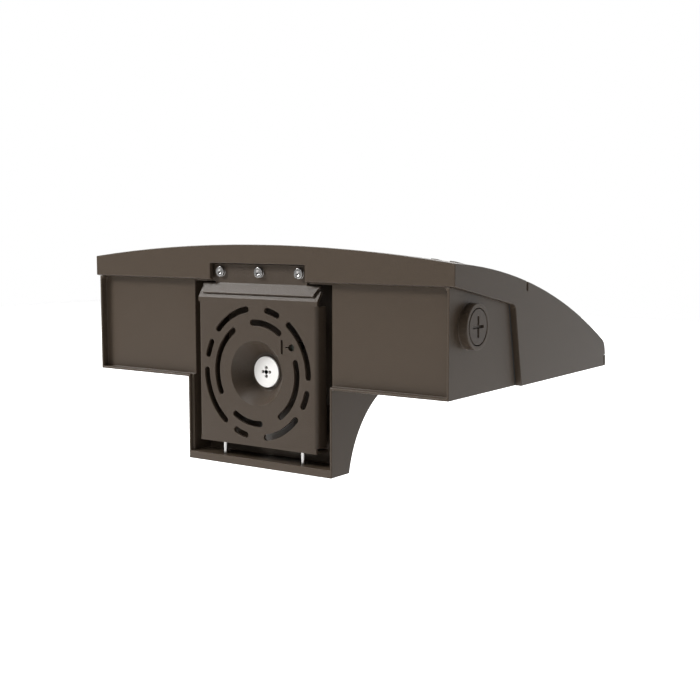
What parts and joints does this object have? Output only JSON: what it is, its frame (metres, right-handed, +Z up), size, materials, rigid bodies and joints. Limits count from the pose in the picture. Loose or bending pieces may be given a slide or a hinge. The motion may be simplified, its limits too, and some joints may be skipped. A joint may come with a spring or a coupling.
{
  "type": "wall pack light",
  "caption": "Full cut-off wall pack light with a curved hood over a driver box, hung on a quick-mount wall plate, with a hinged lens door underneath.",
  "frame": {"origin": "centre of the wall plate's slot rings, on its wall face", "axes": "+X across the light to the right as seen from the front, +Y into the wall, +Z up"},
  "size_m": [0.3148, 0.238, 0.1536],
  "materials": {
    "bronze_casting": "fine-texture bronze powder coat on die-cast aluminium",
    "bronze_paint": "fine-texture bronze powder coat on steel sheet",
    "bronze_plug": "satin bronze powder coat",
    "white_rubber": "matte white silicone",
    "black_rubber": "matte black silicone",
    "bright_steel": "bright zinc-plated or stainless steel",
    "green_zinc": "green plated steel",
    "driver_case": "bare aluminium case",
    "surge_case": "blue potted plastic",
    "thermal_pad": "soft grey pad",
    "board_white": "white solder mask on an aluminium board",
    "emitter_yellow": "yellow phosphor",
    "connector_white": "white nylon",
    "optic_clear": "clear moulded optic",
    "lens_glass": "clear tempered glass"
  },
  "bodies": {
    "wall": {"wall_plate": "bronze_paint", "wire_grommet": "white_rubber", "ground_screw": "green_zinc"},
    "fixture": {"hanger_bracket": "bronze_paint", "hanger_washers": "bright_steel", "hanger_screws": "bright_steel", "rear_housing": "bronze_casting", "hood": "bronze_casting", "housing_seal": "black_rubber", "housing_screws": "bright_steel", "conduit_plug_left": "bronze_plug", "conduit_plug_right": "bronze_plug", "plug_seal_left": "black_rubber", "plug_seal_right": "black_rubber", "wire_bushing": "black_rubber", "lead_bushing": "black_rubber", "driver": "driver_case", "driver_screws": "bright_steel", "surge_protector": "surge_case", "surge_screws": "bright_steel", "thermal_pad": "thermal_pad", "led_board": "board_white", "led_emitters": "emitter_yellow", "board_connector": "connector_white", "optic_panel": "optic_clear", "optic_screws": "bright_steel", "hinge_pins": "bright_steel"},
    "lock_left": {"lock_screw_left": "bright_steel"},
    "lock_right": {"lock_screw_right": "bright_steel"},
    "lens_door": {"door_frame": "bronze_casting", "lens_seal": "black_rubber", "lens": "lens_glass", "lens_clips": "bright_steel", "clip_screws": "bright_steel", "door_seal_ring": "black_rubber", "door_screws": "bright_steel"}
  },
  "joints": [
    {"name": "fixture_lift", "type": "slide", "parent": "wall", "child": "fixture", "axis": [0, 0, 1], "range_m": [0, 0.0088]},
    {"name": "lock_left_out", "type": "slide", "parent": "fixture", "child": "lock_left", "axis": [0, 0, -1], "range_m": [0, 0.009]},
    {"name": "lock_right_out", "type": "slide", "parent": "fixture", "child": "lock_right", "axis": [0, 0, -1], "range_m": [0, 0.009]},
    {"name": "lens_door_hinge", "type": "hinge", "parent": "fixture", "child": "lens_door", "pos_m": [0, -0.1041, -0.0029], "axis": [1, 0, 0], "range_deg": [0, 85]}
  ]
}
